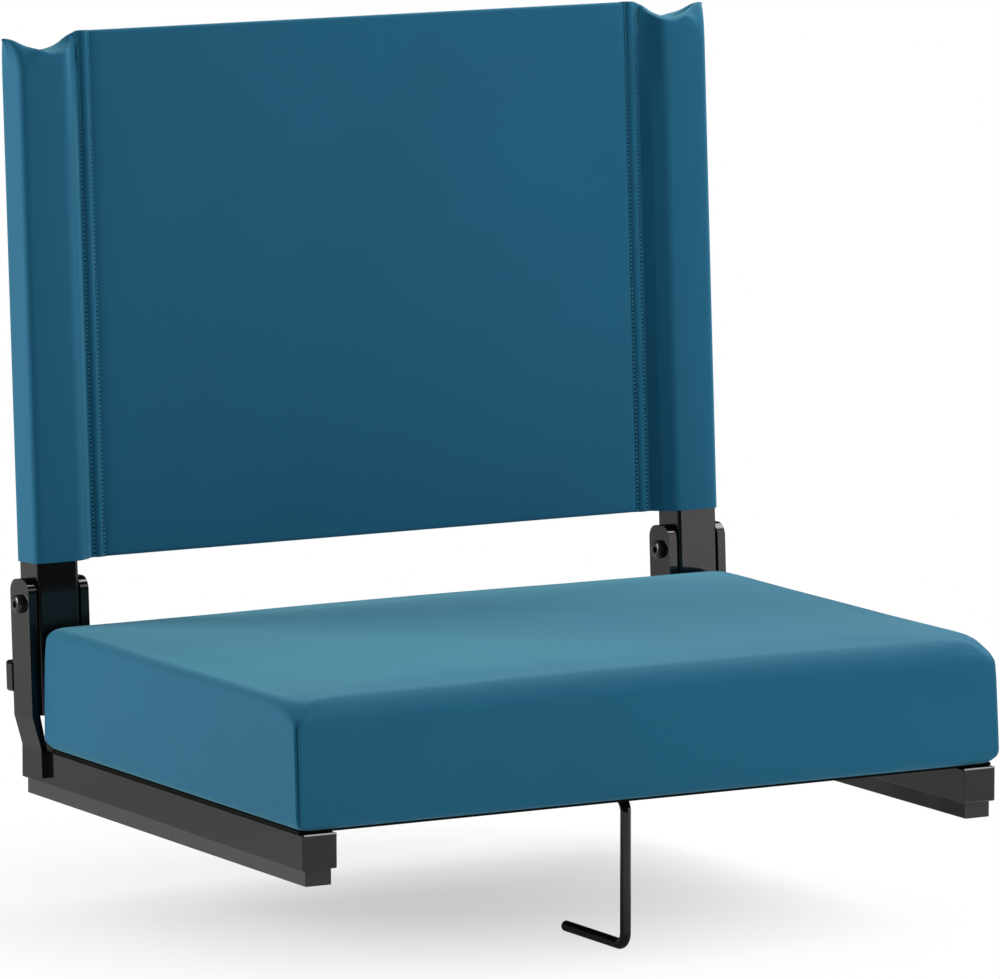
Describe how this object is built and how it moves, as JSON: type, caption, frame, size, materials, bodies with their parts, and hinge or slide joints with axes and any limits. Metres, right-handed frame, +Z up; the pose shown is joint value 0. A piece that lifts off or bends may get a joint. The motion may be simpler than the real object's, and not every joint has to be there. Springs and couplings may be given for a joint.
{
  "type": "portable stadium seat",
  "caption": "Folding stadium seat: a padded cushion on bench rails, a fabric back slung on hinged posts, and a wire hook that swings down to grip the bench board.",
  "frame": {"origin": "on the bench surface under the glides, midway between the rails and midway along them", "axes": "+Z up from the bench, -Y towards the seat's front edge, +X to the right seen from in front"},
  "size_m": [0.4528, 0.3477, 0.4853],
  "materials": {
    "teal_fabric": "smooth woven polyester, soft sheen",
    "foam": "open-cell foam, hidden",
    "plywood": "plain plywood, hidden",
    "black_sheet": "satin black",
    "glide_rubber": "satin black",
    "black_plastic": "satin black",
    "black_fastener": "black coated",
    "black_frame": "gloss black powder coat"
  },
  "bodies": {
    "seat": {"hook_front_saddle": "black_frame", "hook_rear_saddle": "black_frame", "hook_saddle_screws": "black_fastener", "left_glide": "glide_rubber", "left_inner_bracket": "black_frame", "left_outer_bracket": "black_frame", "left_pivot_bolt": "black_fastener", "left_rail": "black_frame", "left_rail_front_cap": "black_plastic", "left_rail_rear_cap": "black_plastic", "left_rail_screws": "black_fastener", "right_glide": "glide_rubber", "right_inner_bracket": "black_frame", "right_outer_bracket": "black_frame", "right_pivot_bolt": "black_fastener", "right_rail": "black_frame", "right_rail_front_cap": "black_plastic", "right_rail_rear_cap": "black_plastic", "right_rail_screws": "black_fastener", "seat_board": "plywood", "seat_cover": "teal_fabric", "seat_foam": "foam", "underside_sheet": "black_sheet"},
    "back": {"back_panel": "teal_fabric", "left_post": "black_frame", "left_post_bottom_plug": "black_plastic", "left_post_bushes": "black_plastic", "left_post_top_plug": "black_plastic", "left_sleeve": "teal_fabric", "right_post": "black_frame", "right_post_bottom_plug": "black_plastic", "right_post_bushes": "black_plastic", "right_post_top_plug": "black_plastic", "right_sleeve": "teal_fabric", "stop_bar": "black_frame", "stop_bar_rivets": "black_fastener"},
    "hook": {"bench_hook": "black_frame", "hook_collar": "black_frame"}
  },
  "joints": [
    {"name": "back_fold", "type": "hinge", "parent": "seat", "child": "back", "pos_m": [0, 0.15, 0.1092], "axis": [1, 0, 0], "range_deg": [0, 84]},
    {"name": "hook_swing", "type": "hinge", "parent": "seat", "child": "hook", "pos_m": [0, -0.133, 0.0236], "axis": [0, 1, 0], "range_deg": [-90, 90]}
  ]
}
